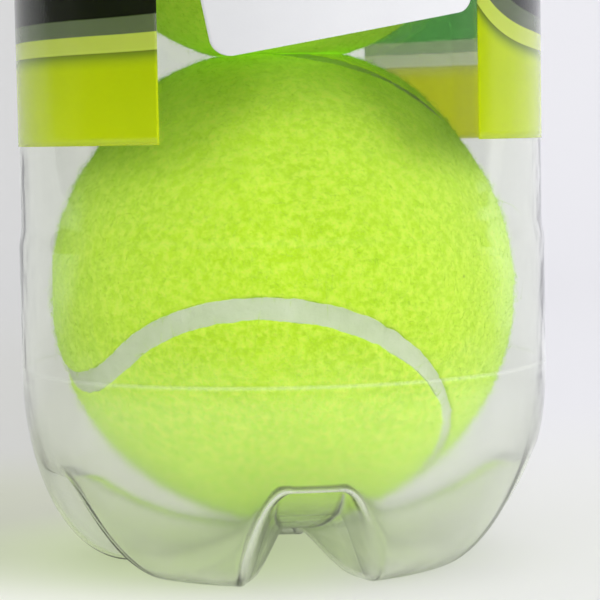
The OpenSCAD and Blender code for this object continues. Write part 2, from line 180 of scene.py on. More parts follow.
def table_paint():
    """Matte paint whose tone changes from front to back and from left to right.

    The left half is painted darker than the right, as shade away from the lamps at the right,
    and a soft green-grey band on the floor to the left of the can is its painted shadow. A
    round pool of green light under the balls is a painted glow, and seen straight on or
    through the can the table partly glows in its own tone, painted light that softens its
    shadows. Shiny things mirror the open table all round as a dark room, so that the clear can
    stays clear.
    """
    material, tree, out = new_material("table paint")
    place = node(tree, "TexCoord").outputs["Object"]
    along = node(tree, "SeparateXYZ", ("Vector", place)).outputs

    def past(axis, start, end):
        """0 before start and 1 after end along one axis of the table, in metres."""
        return between(tree, along[axis], start, end, ease="SMOOTHSTEP")

    # Painted shade: the left half is darker than the right, and the green-grey band from Y -0.035 to 0.13 is
    # the can's painted shadow on the floor
    left = blend(tree, past("Y", -0.035, 0.010), (0.87, 0.88, 0.81, 1), (0.57, 0.585, 0.49, 1))
    left = blend(tree, past("Y", 0.055, 0.130), left, (0.60, 0.60, 0.58, 1))
    left = blend(tree, past("Y", 0.20, 0.60), left, (0.63, 0.63, 0.63, 1))
    right = blend(tree, past("Y", 0.03, 0.20), (0.78, 0.78, 0.77, 1), (0.75, 0.745, 0.78, 1))
    tone = blend(tree, past("X", -0.05, 0.05), left, right)
    rays = node(tree, "LightPath").outputs
    reach = node(tree, "VectorMath", (0, place), operation="LENGTH").outputs["Value"]
    outer = between(tree, reach, DIM_START, DIM_FULL, ease="SMOOTHSTEP")
    dim = maths(tree, "MULTIPLY", outer, past("Y", 0.25, 0.0))
    tone = blend(tree, maths(tree, "MULTIPLY", dim, rays["Is Glossy Ray"]), tone, DIM_COLOUR)
    matte = node(tree, "BsdfPrincipled", ("Base Color", tone), ("Roughness", 0.75),
                 ("Normal", relief(tree, place, 900.0, 3.0, 0.05, 0.0002)["Normal"]))
    # Painted light: a round pool of green glow painted under the balls
    offset = node(tree, "VectorMath", (0, place), (1, SPILL_PLACE), operation="SUBTRACT").outputs["Vector"]
    away = node(tree, "VectorMath", (0, offset), operation="LENGTH").outputs["Value"]
    pool = between(tree, away, SPILL_EDGE, SPILL_FULL, ease="SMOOTHSTEP")
    spill = node(tree, "Emission", ("Color", blend(tree, pool, tone, PAINTED_POOL_COLOUR)))
    # Painted light: seen straight on or through the can, the table partly glows in its own tone, which
    # softens its shadows
    direct = maths(tree, "MAXIMUM", rays["Is Camera Ray"], rays["Is Transmission Ray"])
    tinted = node(tree, "MixShader", ("Fac", maths(tree, "MULTIPLY", direct, PAINTED_GLOW_SHARE)),
                  (1, matte.outputs[0]), (2, spill.outputs[0]))
    tree.links.new(tinted.outputs[0], out.inputs["Surface"])
    return material


table = new_piece("table", *swept_table())
table.data.materials.append(table_paint())


def soft_lamp(name, place, aim, size, power):
    """A rectangular lamp that faces the point aim. It lights surfaces but isn't mirrored in them."""
    lamp = bpy.data.lights.new(name, "AREA")
    lamp.shape = "RECTANGLE"
    lamp.size, lamp.size_y = size
    lamp.energy = power
    holder = bpy.data.objects.new(name, lamp)
    turn = (Vector(place) - Vector(aim)).to_track_quat("Z", "Y").to_matrix().to_4x4()
    holder.matrix_world = Matrix.Translation(place) @ turn
    holder.visible_glossy = False
    holder.visible_transmission = False
    bpy.context.scene.collection.objects.link(holder)


CAN_MIDDLE = (0, 0, 0.06)
soft_lamp("side softbox", (1.497, -0.545, 0.48), CAN_MIDDLE, (1.05, 1.05), 19.6)
soft_lamp("front softbox", (0.411, -1.535, 0.90), CAN_MIDDLE, (1.2, 0.9), 10.2)
soft_lamp("fill softbox", (-1.221, -1.025, 0.48), CAN_MIDDLE, (1.2, 0.9), 9.4)
soft_lamp("top softbox", (0.0, 0.10, 1.30), CAN_MIDDLE, (1.2, 1.2), 3.6)
soft_lamp("backdrop lamp", (0.25, 0.10, 0.90), (0.1, 1.0, 0.2), (0.5, 0.3), 1.2)

# Brightness of the room's walls, by degrees from straight ahead of the can toward its right
ROOM_WALLS = [(-180, 0.80), (-150, 0.15), (-94, 0.13), (-91, 0.03), (0, 0.05), (60, 0.08), (101, 0.15),
              (104, 0.95), (180, 0.80)]
CEILING = (0.75, 0.76, 0.78, 1)
OPEN_ROOM = (0.70, 0.70, 0.72, 1)


def grey_room():
    """A world whose walls are bright behind the can and dark before it, under a pale ceiling.

    Only mirrored and scattered light meets them: the room looks an even grey by itself.
    """
    world = bpy.data.worlds.new("room")
    world.use_nodes = True
    tree = world.node_tree
    way = node(tree, "SeparateXYZ", ("Vector", node(tree, "TexCoord").outputs["Generated"])).outputs
    turn = maths(tree, "ARCTAN2", way["X"], maths(tree, "MULTIPLY", way["Y"], -1.0))
    walls = node(tree, "ValToRGB", ("Fac", between(tree, turn, -math.pi, math.pi)))
    ramp = walls.color_ramp
    while len(ramp.elements) < len(ROOM_WALLS):
        ramp.elements.new(0.5)
    for element, (degrees, value) in zip(ramp.elements, ROOM_WALLS):
        element.position = (degrees + 180) / 360
        element.color = (value, value, value, 1)
    high = between(tree, way["Z"], 0.20, 0.6, ease="SMOOTHSTEP")
    lit = blend(tree, high, walls.outputs["Color"], CEILING)
    seen = node(tree, "LightPath").outputs["Is Camera Ray"]
    tree.links.new(blend(tree, seen, lit, OPEN_ROOM), tree.nodes["Background"].inputs["Color"])
    return world


bpy.context.scene.world = grey_room()
bpy.context.scene.view_settings.view_transform = "Standard"

# ---------------------------------------------------------------- camera
# A long lens close to the table, a little above the middle of the lowest ball, so that the
# lower third of the can fills the frame.

CAMERA_PLACE = (2.45 * MM, -333.7 * MM, 61.7 * MM)
CAMERA_DOWN = math.radians(4.14)
CAMERA_ROLL = math.radians(-1.033)

ahead = Vector((0, math.cos(CAMERA_DOWN), -math.sin(CAMERA_DOWN)))
side = Vector((1, 0, 0))
above = side.cross(ahead)
across = math.cos(CAMERA_ROLL) * side + math.sin(CAMERA_ROLL) * above
upward = -math.sin(CAMERA_ROLL) * side + math.cos(CAMERA_ROLL) * above
camera_data = bpy.data.cameras.new("camera")
camera_data.lens = 138.1
camera_data.sensor_width = 36
camera_data.clip_start = 0.01
camera = bpy.data.objects.new("camera", camera_data)
camera.matrix_world = (Matrix.Translation(CAMERA_PLACE)
                       @ Matrix((across, upward, -ahead)).transposed().to_4x4())
bpy.context.scene.collection.objects.link(camera)
bpy.context.scene.camera = camera

# ---------------------------------------------------------------- clear can
# One stretch-blown piece of clear polyester: five feet, a slightly wider lower band with the
# mould's parting line under it, a straight wall, and a flange that is hooked into the seam.

BALL_RADIUS = 33.5 * MM
WALL = 0.5 * MM
CAN_RADIUS = BALL_RADIUS + 3.5 * MM + WALL
BAND_RADIUS = CAN_RADIUS + 0.4 * MM
HEEL = 28 * MM
BAND_TOP = 46 * MM
BAND_RAMP = 3 * MM
DOME = 5 * MM
PAD_OUT, PAD_IN = 22.5 * MM, 19.5 * MM
FEET = 5
# A valley's half width and half the width of its side walls at the heel and at the floor, in degrees
VALLEY_HIGH, VALLEY_LOW = 5.5, 16.5
VALLEY_SIDE_HIGH, VALLEY_SIDE_LOW = 4.0, 6.5
# Shares of the way down at which the valleys begin and are full, and the turn of the first one
VALLEY_START, VALLEY_FULL = 0.15, 0.72
VALLEY_TURN = 7.0
PARTING_AT = HEEL + 0.9 * MM
PARTING = 0.008 * MM
FLANGE_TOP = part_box("can_body")[1][2]
FLANGE = 0.4 * MM
FLANGE_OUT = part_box("can_body")[1][0]


def swell(t):
    """Half a cosine wave, from 0 to 1."""
    return (1 - np.cos(np.pi * t)) / 2


def polar(radius, angle, height):
    """Points from radius, angle in radians from +X, and height."""
    return np.stack(np.broadcast_arrays(radius * np.cos(angle), radius * np.sin(angle), height), -1)


def closed_skin(grid):
    """Points and faces of a grid of rings, shut by a point in the middle of its first and last ring."""
    rows, cols = grid.shape[:2]
    points = np.concatenate([grid.reshape(-1, 3), [grid[0].mean(0)], [grid[-1].mean(0)]])
    i = np.arange(cols)
    n = (i + 1) % cols
    last = (rows - 1) * cols
    first_fan = np.stack([np.full(cols, rows * cols), n, i], -1)
    last_fan = np.stack([np.full(cols, rows * cols + 1), last + i, last + n], -1)
    return points, [grid_faces(rows, cols, True), first_fan, last_fan]


def base_grid(off, side_rows=44, under_rows=30):
    """Rings of the base from the middle of the underside out and up to the round wall.

    Each ring mixes two sections by a weight that swells from a valley's floor to a foot. The
    foot's section is a quarter ellipse, a flat pad and a swelling line to the middle; the
    valley's is one ellipse, and it fades into the foot's toward the heel. off is 0 for the
    outside and the wall's thickness for the inside.
    """
    rim = BAND_RADIUS - off
    down = np.linspace(0, 1, side_rows + 1)
    inward = np.linspace(0.03, 1, under_rows)[::-1]
    fall = np.concatenate([down, np.ones(under_rows)])
    # Section through a foot, from the wall down to the pad and in to the middle
    foot_r = np.concatenate([PAD_OUT + (rim - PAD_OUT) * np.cos(np.pi / 2 * down), PAD_IN * inward])
    foot_z = np.concatenate([HEEL - (HEEL - off) * np.sin(np.pi / 2 * down), off + DOME * swell(1 - inward)])
    valley_r = np.concatenate([rim * np.cos(down * math.acos(PAD_OUT / rim)), PAD_IN * inward])
    valley_z = HEEL - (HEEL - DOME - off) * np.sqrt(1 - (valley_r / rim) ** 2)
    # Azimuth lines of half a period: valley floor, side wall, foot
    middle = VALLEY_HIGH + (VALLEY_LOW - VALLEY_HIGH) * fall
    shift = np.degrees(off / np.maximum(foot_r, 4 * MM))
    side = VALLEY_SIDE_HIGH + (VALLEY_SIDE_LOW - VALLEY_SIDE_HIGH) * fall
    low = (middle - side + shift)[:, None]
    high = (middle + side + shift)[:, None]
    floor_s, side_s, foot_s = np.linspace(0, 1, 9)[:-1], np.linspace(0, 1, 15), np.linspace(0, 1, 15)[1:]
    half = np.concatenate([low * floor_s, low + (high - low) * side_s,
                           high + (180 / FEET - high) * foot_s], 1)
    weight = np.concatenate([0 * floor_s, swell(side_s), 1 + 0 * foot_s])
    period = np.concatenate([half, 360 / FEET - half[:, -2:0:-1]], 1)
    weight = np.concatenate([weight, weight[-2:0:-1]])
    turns = VALLEY_TURN - 90 + 360 / FEET * np.arange(FEET)
    angle = np.radians(np.concatenate([t + period for t in turns], 1))
    depth = swell(np.clip((fall - VALLEY_START) / (VALLEY_FULL - VALLEY_START), 0, 1))
    weight = 1 - (1 - np.tile(weight, FEET)[None, :]) * depth[:, None]
    radius = valley_r[:, None] * (1 - weight) + foot_r[:, None] * weight
    height = valley_z[:, None] * (1 - weight) + foot_z[:, None] * weight
    return polar(radius, angle, height)[::-1], angle[0]


def wall_rings(profile, angle):
    """Rings of a profile of (radius, height) pairs at the given angles."""
    profile = np.asarray(profile)
    return polar(profile[:, :1], angle[None, :], profile[:, 1:])


outer_base, can_angle = base_grid(0)
inner_base, _ = base_grid(WALL)
ramp = np.linspace(0, 1, 9)
parting_rows = np.linspace(-0.9, 0.9, 13) * MM
above_line = np.linspace(HEEL + 1.2 * MM, BAND_TOP, 12)
straight = np.linspace(BAND_TOP + BAND_RAMP + 1 * MM, FLANGE_TOP - FLANGE, 40)
outer_wall = ([(BAND_RADIUS + PARTING * math.exp(-(s / (0.28 * MM)) ** 2), PARTING_AT + s)
               for s in parting_rows]
              + [(BAND_RADIUS, z) for z in above_line if z > HEEL + 2 * MM]
              + [(BAND_RADIUS + (CAN_RADIUS - BAND_RADIUS) * swell(t), BAND_TOP + BAND_RAMP * t)
                 for t in ramp[1:]]
              + [(CAN_RADIUS, z) for z in straight])
flange = [(FLANGE_OUT - FLANGE, FLANGE_TOP - FLANGE), (FLANGE_OUT - FLANGE, FLANGE_TOP - 2 * MM),
          (FLANGE_OUT, FLANGE_TOP - 2 * MM), (FLANGE_OUT, FLANGE_TOP), (CAN_RADIUS - WALL, FLANGE_TOP)]
inner_wall = [(r - WALL, z) for r, z in outer_wall[::-1] if z < FLANGE_TOP - FLANGE]
can_grid = np.concatenate([outer_base[:-1], wall_rings(outer_wall + flange + inner_wall, can_angle),
                           inner_base[::-1][1:]])
can_wall = new_piece("can_wall", *closed_skin(can_grid))


def pass_light(tree, out, surface, tint):
    """Surface for the eye, but a plain tinted film for the light that casts shadows."""
    film = node(tree, "BsdfTransparent", ("Color", tint))
    shadow = node(tree, "LightPath").outputs["Is Shadow Ray"]
    both = node(tree, "MixShader", ("Fac", shadow), (1, surface.outputs[0]), (2, film.outputs[0]))
    tree.links.new(both.outputs[0], out.inputs["Surface"])


def clear_polyester():
    """Glassy plastic with slow ripples, hazier in the thick feet and milky on the parting line."""
    material, tree, out = new_material("clear polyester")
    place = node(tree, "TexCoord").outputs["Object"]
    level = node(tree, "SeparateXYZ", ("Vector", place)).outputs["Z"]
    thick = between(tree, level, 18 * MM, 30 * MM, 0.09, 0.0)
    haze = between(tree, noise(tree, place, 35.0, 4.0), 0.0, 1.0, 0.02, 0.06)
    far = maths(tree, "ABSOLUTE", maths(tree, "SUBTRACT", level, PARTING_AT))
    body = node(tree, "BsdfPrincipled", ("Base Color", (0.968, 0.985, 0.930, 1)),
                ("Roughness", maths(tree, "ADD", thick, haze)), ("IOR", 1.57),
                ("Transmission Weight", between(tree, far, 0.05 * MM, 0.4 * MM, 0.93, 1.0)),
                ("Normal", relief(tree, place, 90.0, 2.0, 0.25, 0.0004)["Normal"]))
    pass_light(tree, out, body, (0.98, 0.985, 0.975, 1))
    return material


can_wall.data.materials.append(clear_polyester())
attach(can_wall, "can")
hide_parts("can_body")

# ---------------------------------------------------------------- labels
# Two printed films glued round the can, with a clear window between them at the front and at
# the back. Lime foot, a pale stripe with a soft shadow under it, a grey band, a black field.

LABEL_RADIUS = CAN_RADIUS + 0.03 * MM
FILM = 0.1 * MM
LABEL_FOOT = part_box("label_left")[0][2]
LABEL_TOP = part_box("label_left")[1][2]
# Degrees from the front at which each label begins and ends
LEFT_LABEL = (-24.3 - 106, -24.3)
RIGHT_LABEL = (45.2, 45.2 + 113.6)
# Lower edge of the shadow, pale stripe, grey band and black field: its height, its rise beside the
# window and its softness in mm, and how much of the inner face's drop it takes
FOOT_BANDS = ((71.7, 5.6, 1.5, 1.0), (72.6, 5.8, 0.07, 1.0), (74.9, 6.5, 0.07, 1.5), (77.1, 8.6, 0.10, 1.8))
# Distance from the label's top to the foot of its upper grey, pale and lime bands, and softness in mm
HEAD_BANDS = ((16.6, 0.10), (14.4, 0.07), (12.1, 0.07))
RISE_FADES = 5.6
# Lime from and to, shadow, pale, grey and black, on the printed face and through the film's back.
# The back's shadow, grey and black are lighter and greener: painted green light from the balls
FACE_INKS = ((0.43, 0.60, 0.001), (0.48, 0.66, 0.002), (0.045, 0.06, 0.010), (0.55, 0.70, 0.060),
             (0.060, 0.066, 0.050), (0.004, 0.004, 0.003))
BACK_INKS_GREEN_LIT = ((0.50, 0.62, 0.001), (0.56, 0.68, 0.002), (0.16, 0.22, 0.010), (0.42, 0.56, 0.060),
             (0.035, 0.075, 0.025), (0.010, 0.040, 0.008))


def closed_sheet(outer, inner):
    """Points and faces of two grids of the same shape, joined into one skin along their rims."""
    rows, cols = outer.shape[:2]
    count = rows * cols
    outward = grid_faces(rows, cols, False)
    rim = np.concatenate([np.arange(cols), np.arange(2 * cols, count, cols) - 1,
                          np.arange(count - 1, count - cols - 1, -1),
                          np.arange(count - 2 * cols, 0, -cols)])
    after = np.roll(rim, -1)
    sides = np.stack([rim, rim + count, after + count, after], -1)
    points = np.concatenate([outer.reshape(-1, 3), inner.reshape(-1, 3)])
    return points, [outward, outward[:, ::-1] + count, sides]


def film_piece(name, from_deg, to_deg, rows=120, cols=150):
    """A thin closed sheet bent round the can, with a UV map in millimetres.

    U runs from the label's edge beside the front window, V is the height above the ground. The
    second material is for the face toward the can.
    """
    turn = np.radians(np.linspace(from_deg, to_deg, cols) - 90)
    a, z = np.meshgrid(turn, np.linspace(LABEL_FOOT, LABEL_TOP, rows))
    points, faces = closed_sheet(polar(LABEL_RADIUS + FILM, a, z), polar(LABEL_RADIUS, a, z))
    piece = new_piece(name, points, faces)
    piece.data.polygons.foreach_set("material_index", np.repeat([0, 1, 0], [len(f) for f in faces]))
    uv = piece.data.uv_layers.new(name="label")
    corner = np.zeros(len(piece.data.loops), np.int32)
    piece.data.loops.foreach_get("vertex_index", corner)
    u = np.abs(np.degrees(a) + 90 - min(from_deg, to_deg, key=abs))
    flat = np.stack([np.radians(u) * CAN_RADIUS / MM, z / MM], -1).reshape(-1, 2)
    flat = np.concatenate([flat, flat])[corner]
    uv.data.foreach_set("uv", flat.astype(np.float32).ravel())
    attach(piece, "can")
    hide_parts(name)
    return piece


def print_material(name, sweep, inks, glow, drop=0.0):
    """Glossy print in level bands that curve up beside the front window.

    Each band's edge lies at its height plus sweep times its rise, which fades with distance
    from the window as exp(-U / RISE_FADES). drop lowers the bands at the foot, and glow is the
    share of light that the film lets through.
    """
    material, tree, out = new_material(name)
    uv = node(tree, "UVMap", uv_map="label").outputs["UV"]
    across, up = node(tree, "SeparateXYZ", ("Vector", uv)).outputs[:2]
    fade = maths(tree, "EXPONENT", maths(tree, "MULTIPLY", across, -1 / RISE_FADES))

    def lay(under, over, level, rise, soft):
        """Ink over on ink under above a band's edge."""
        edge = maths(tree, "SUBTRACT", up, maths(tree, "MULTIPLY", fade, rise * sweep))
        share = between(tree, edge, level - soft, level + soft, ease="SMOOTHSTEP")
        return blend(tree, share, under, over)

    lime_low, lime_high, shade, pale, grey, black = [colour + (1,) for colour in inks]
    grain = noise(tree, uv, 0.08, 3.0)
    lime = blend(tree, grain, lime_low, lime_high)
    ink = lime
    for colour, (level, rise, soft, share) in zip((shade, pale, grey, black), FOOT_BANDS):
        ink = lay(ink, colour, level - share * drop, rise, soft)
    for colour, (below, soft) in zip((grey, pale, lime), HEAD_BANDS):
        ink = lay(ink, colour, LABEL_TOP / MM - below, 0, soft)
    coat = node(tree, "BsdfPrincipled", ("Base Color", ink),
                ("Roughness", between(tree, grain, 0, 1, 0.10, 0.22)), ("IOR", 1.42),
                ("Subsurface Weight", glow), ("Subsurface Radius", (1.0, 1.0, 1.0)),
                ("Subsurface Scale", 2 * MM), ("Normal", relief(tree, uv, 1.6, 4.0, 0.08, 0.0003)["Normal"]))
    tree.links.new(coat.outputs[0], out.inputs["Surface"])
    return material


for name, ends, sweep in (("label_left", LEFT_LABEL, 0.05), ("label_right", RIGHT_LABEL, 1.0)):
    label = film_piece(name, *ends)
    label.data.materials.append(print_material(name + " print", sweep, FACE_INKS, glow=0.8))
    # The inner face's inks carry painted green light from the balls
    label.data.materials.append(print_material(name + " inner face", sweep, BACK_INKS_GREEN_LIT, glow=0.55, drop=0.8))

# ---------------------------------------------------------------- price sticker
# A plain white paper sticker with round corners, put on by hand over the front window, a
# little crooked.

STICKER_SIZE = (36 * MM, 28 * MM)
STICKER_ROUND = 2.5 * MM
STICKER_TURN, STICKER_LEAN = math.radians(15.75), math.radians(10)
STICKER_FOOT = 74.5 * MM


def sticker_sheets(rows=70, cols=90):
    """A rounded rectangle, leaned and bent round the can: each row is as wide as the corners leave."""
    width, height = STICKER_SIZE
    t = swell(np.linspace(0, 1, rows))
    y = t * height
    near = np.maximum(STICKER_ROUND - np.minimum(y, height - y), 0)
    half = width / 2 - STICKER_ROUND + np.sqrt(np.maximum(STICKER_ROUND ** 2 - near ** 2, 1e-12))
    x = np.linspace(-1, 1, cols)[None, :] * half[:, None]
    y = np.repeat(y[:, None], cols, 1)
    flat_x = x * math.cos(STICKER_LEAN) - y * math.sin(STICKER_LEAN)
    flat_z = x * math.sin(STICKER_LEAN) + y * math.cos(STICKER_LEAN)
    angle = np.arcsin(flat_x / CAN_RADIUS) + STICKER_TURN - math.pi / 2
    return [polar(r, angle, STICKER_FOOT + flat_z) for r in (LABEL_RADIUS + FILM, LABEL_RADIUS)]


def mottle_group():
    """Noise at a place that blends two colours: it gives the colour and the noise itself."""
    group, given, result = new_group("mottle", (("Place", "Vector"), ("Scale", "Float"), ("Detail", "Float"),
                                                ("First", "Color"), ("Second", "Color")),
                                     (("Colour", "Color"), ("Share", "Float")))
    share = noise(group, given["Place"], given["Scale"], given["Detail"])
    group.links.new(blend(group, share, given["First"], given["Second"]), result["Colour"])
    group.links.new(share, result["Share"])
    return group


mottle_nodes = mottle_group()


def mottle(tree, place, scale, detail, first, second):
    """Sockets Colour and Share of a mottle group placed in a material."""
    return node(tree, "Group", ("Place", place), ("Scale", scale), ("Detail", detail),
                ("First", first + (1,)), ("Second", second + (1,)), node_tree=mottle_nodes).outputs


def sticker_paper():
    """White paper with a little cloud in its tone and fine fibres."""
    material, tree, out = new_material("sticker paper")
    place = node(tree, "TexCoord").outputs["Object"]
    white = mottle(tree, place, 160.0, 3.0, (0.555, 0.555, 0.58), (0.60, 0.60, 0.62))["Colour"]
    paper = node(tree, "BsdfPrincipled", ("Base Color", white), ("Roughness", 0.5),
                 ("Normal", relief(tree, place, 2600.0, 3.0, 0.15, 0.00005)["Normal"]))
    tree.links.new(paper.outputs[0], out.inputs["Surface"])
    return material


sticker = new_piece("price_sticker_paper", *closed_sheet(*sticker_sheets()))
sticker.data.materials.append(sticker_paper())
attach(sticker, "can")
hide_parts("price_sticker")

# ---------------------------------------------------------------- metal end
# Lacquered aluminium sheet, seamed to the can's flange over a soft compound. The tear panel
# is bounded by a score line and carries the riveted ring that opens it.


def sheet_metal(name, colour, rough_low, rough_high, grain_scale):
    """Rolled sheet: fine streaks along X vary its roughness and its height."""
    material, tree, out = new_material(name)
    place = node(tree, "TexCoord").outputs["Object"]
    along = node(tree, "Mapping", ("Vector", place), ("Scale", (0.06, 1.0, 1.0))).outputs["Vector"]
    streak = relief(tree, along, grain_scale, 5.0, 0.1, 0.00004)
    tone = mottle(tree, place, 60.0, 3.0, tuple(0.9 * c for c in colour), colour)["Colour"]
    metal = node(tree, "BsdfPrincipled", ("Base Color", tone), ("Metallic", 1.0),
                 ("Roughness", between(tree, streak["Height"], 0, 1, rough_low, rough_high)),
                 ("Normal", streak["Normal"]))
    tree.links.new(metal.outputs[0], out.inputs["Surface"])
    return material


def dull_material(name, scale, detail, first, second, rough):
    """Plain matter with a mottled colour and no shine."""
    material, tree, out = new_material(name)
    tone = mottle(tree, node(tree, "TexCoord").outputs["Object"], scale, detail, first, second)["Colour"]
    matter = node(tree, "BsdfPrincipled", ("Base Color", tone), ("Roughness", rough))
    tree.links.new(matter.outputs[0], out.inputs["Surface"])
    return material


def dress(material, *names):
    """Gives CAD nodes a material in place of their own."""
    for name in names:
        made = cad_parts[name].data
        made.materials.clear()
        made.materials.append(material)


dress(sheet_metal("end sheet", (0.82, 0.83, 0.84), 0.18, 0.34, 1800.0), "end_ring", "tear_panel")
dress(sheet_metal("ring sheet", (0.76, 0.77, 0.78), 0.14, 0.26, 2600.0), "tab_tongue", "pull_ring")
dress(dull_material("sealing compound", 900.0, 4.0, (0.16, 0.16, 0.14), (0.24, 0.24, 0.21), 0.7),
      "sealing_compound")

# ---------------------------------------------------------------- cap
# Soft milky polyethylene, moulded in one shot: a plate with a stacking rim, and a skirt with
# a snap bead that grips under the seam.


def milky_plastic():
    """Cloudy plastic with slow flow marks and a fine moulded grain."""
    material, tree, out = new_material("milky cap")
    place = node(tree, "TexCoord").outputs["Object"]
    flow = mottle(tree, place, 70.0, 4.0, (0.80, 0.83, 0.82), (0.90, 0.92, 0.91))
    cap = node(tree, "BsdfPrincipled", ("Base Color", flow["Colour"]),
               ("Roughness", between(tree, flow["Share"], 0, 1, 0.30, 0.42)), ("IOR", 1.51),
               ("Transmission Weight", 0.6),
               ("Normal", relief(tree, place, 2400.0, 2.0, 0.2, 0.00004)["Normal"]))
    pass_light(tree, out, cap, (0.6, 0.62, 0.61, 1))
    return material


dress(milky_plastic(), "overcap")

# ---------------------------------------------------------------- balls
# A hollow rubber core moulded in two halves, covered by two dumbbell-shaped felt panels that
# are cemented on. The pale cement fills the groove between them and dries a little sunk.

CORE_RADIUS = BALL_RADIUS - 3.2 * MM
BOW = math.radians(9)
SEAM_MID = math.acos(math.cos(math.pi / 4) * math.cos(BOW))
SEAM_WIDTH = 2.6 * MM
SEAM_SINK = 0.30 * MM
FELT_EDGE = 0.7 * MM
# Gap between neighbours in the stack, height of the lowest ball's middle, and step to the next
BALL_GAP = 0.3 * MM
BALL_FIRST = DOME + WALL + BALL_GAP + BALL_RADIUS
BALL_STEP = 2 * BALL_RADIUS + BALL_GAP
BALL_TURNS = [(65, 29, 31), (20, 140, 75), (35, 250, 110)]
NAP_SWELL = 1.6 * MM
NAP_FLAT = BALL_STEP / 2 - 0.05 * MM
# Share of the nap's fibres that are long strays, and their length against the others
STRAY_SHARE, STRAY_LENGTH = 0.006, 3.2
# Where the cement's ends meet, in arcs of the seam line, and where the panels nearly touch
JOINT_AT = 2.516
SEAM_CLOSE = np.array([0.588, 0.255, 0.768])


def lattice_noise(points, cell, seed):
    """Smooth noise from -1 to 1: random values at the corners of cubes, blended between them."""
    scaled = points / cell
    corner = np.floor(scaled).astype(np.int64)
    f = scaled - corner
    f = f * f * (3 - 2 * f)
    total = np.zeros(points.shape[:-1])
    for dx, dy, dz in np.ndindex(2, 2, 2):
        i, j, k = (corner[..., 0] + dx, corner[..., 1] + dy, corner[..., 2] + dz)
        h = (i * 73856093 ^ j * 19349663 ^ k * 83492791 ^ seed * 2654435761) & 0xFFFFFFFF
        h = ((h ^ (h >> 15)) * 2246822519) & 0xFFFFFFFF
        h = ((h ^ (h >> 13)) * 3266489917) & 0xFFFFFFFF
        value = (h & 0xFFFF) / 32767.5 - 1
        weight = np.where(dx, f[..., 0], 1 - f[..., 0]) * np.where(dy, f[..., 1], 1 - f[..., 1])
        total += value * weight * np.where(dz, f[..., 2], 1 - f[..., 2])
    return total


def seam_side(d):
    """Angle in radians from the seam line to directions d, positive on the upper panel's side.

    The line is made of four arcs. On the upper half they are circles about two axes near +-Y
    that are tilted up by the bow, and on the lower half about two near +-X that are tilted down.
    """
    up = np.abs(d[..., 1]) * math.cos(BOW) + d[..., 2] * math.sin(BOW)
    down = np.abs(d[..., 0]) * math.cos(BOW) - d[..., 2] * math.sin(BOW)
    upper = np.arccos(np.clip(up, -1, 1)) - SEAM_MID
    lower = SEAM_MID - np.arccos(np.clip(down, -1, 1))
    return np.where(d[..., 2] > 0, upper, lower)


def turned(points, angles):
    """Points turned about X, then Y, then Z, by angles in degrees."""
    x, y, z = (math.radians(a) for a in angles)
    about_x = np.array([[1, 0, 0], [0, math.cos(x), -math.sin(x)], [0, math.sin(x), math.cos(x)]])
    about_y = np.array([[math.cos(y), 0, math.sin(y)], [0, 1, 0], [-math.sin(y), 0, math.cos(y)]])
    about_z = np.array([[math.cos(z), -math.sin(z), 0], [math.sin(z), math.cos(z), 0], [0, 0, 1]])
    return points @ (about_z @ about_y @ about_x).T


def seam_share(d, close):
    """Share of the seam's full width at directions d: the panels nearly meet toward close."""
    return 1 - 0.7 * swell(np.clip((d @ close - 0.45) / 0.25, 0, 1))


def edge_latitudes(lon, edge_angle):
    """Latitude of the panel's edge at each longitude, edge_angle inside the seam line."""
    far = np.abs(lon)
    rise, run = math.cos(BOW), np.cos(far) * math.sin(BOW)
    waist = (np.arcsin(np.clip(np.cos(SEAM_MID + edge_angle) / np.hypot(rise, run), -1, 1))
             - np.arctan2(run, rise))
    lobe = np.arccos(np.clip(np.cos(SEAM_MID - edge_angle) / np.maximum(np.sin(far - BOW), 1e-6), -1, 1))
    return np.where(far < math.pi / 2, waist, lobe)


def on_sphere(lon, lat):
    """Directions from a longitude about Y, measured from Z, and a latitude toward Y."""
    return np.stack(np.broadcast_arrays(np.sin(lon) * np.cos(lat), np.sin(lat),
                                        np.cos(lon) * np.cos(lat)), -1)


def edge_wander(directions, seed):
    """How far a cut edge wanders from its line: slow waves and a fine fray, in metres."""
    p = directions * BALL_RADIUS
    return (0.34 * lattice_noise(p, 4.2 * MM, seed + 7) + 0.20 * lattice_noise(p, 1.5 * MM, seed + 8)
            + 0.06 * lattice_noise(p, 0.6 * MM, seed + 9)) * MM


def panel_grid(seed, close, rows, cols):
    """Directions over the upper panel, on a grid that follows the dumbbell.

    Rows run round the Y axis from one lobe's tip over the top to the other. Each row crosses
    the panel from edge to edge, and the two edges wander a little about the seam's side.
    """
    inset = SEAM_WIDTH / 2 / BALL_RADIUS
    reach = math.pi / 2 + BOW + SEAM_MID - inset
    lon = reach * np.sin(np.linspace(-1, 1, rows) * (math.pi / 2) * 0.994)
    edges = []
    for sign in (-1, 1):
        even = on_sphere(lon, sign * edge_latitudes(lon, inset))
        stray = edge_wander(even, seed) / BALL_RADIUS - inset * (1 - seam_share(even, close))
        fade = np.clip((reach - np.abs(lon)) / 0.12, 0, 1)
        edges.append(sign * np.maximum(edge_latitudes(lon, inset + stray * fade), 1e-4))
    t = (np.linspace(-1, 1, cols)[None, :] + 1) / 2
    lat = edges[0][:, None] * (1 - t) + edges[1][:, None] * t
    return on_sphere(lon[:, None], lat)


def felt_height(directions, seed, close):
    """Radius of the felt: the ball's own, with soft lumps, rolled down at the panel's edge."""
    p = directions * BALL_RADIUS
    lumps = (0.09 * lattice_noise(p, 6.5 * MM, seed) + 0.07 * lattice_noise(p, 2.3 * MM, seed + 1)
             + 0.06 * lattice_noise(p, 1.0 * MM, seed + 2)
             + 0.04 * lattice_noise(p, 0.55 * MM, seed + 3)) * MM
    inside = seam_side(directions) * BALL_RADIUS - SEAM_WIDTH / 2 * seam_share(directions, close)
    roll = np.clip(1 - inside / FELT_EDGE, 0, 1.3)
    return BALL_RADIUS - 0.12 * MM + lumps - 0.40 * MM * roll ** 2


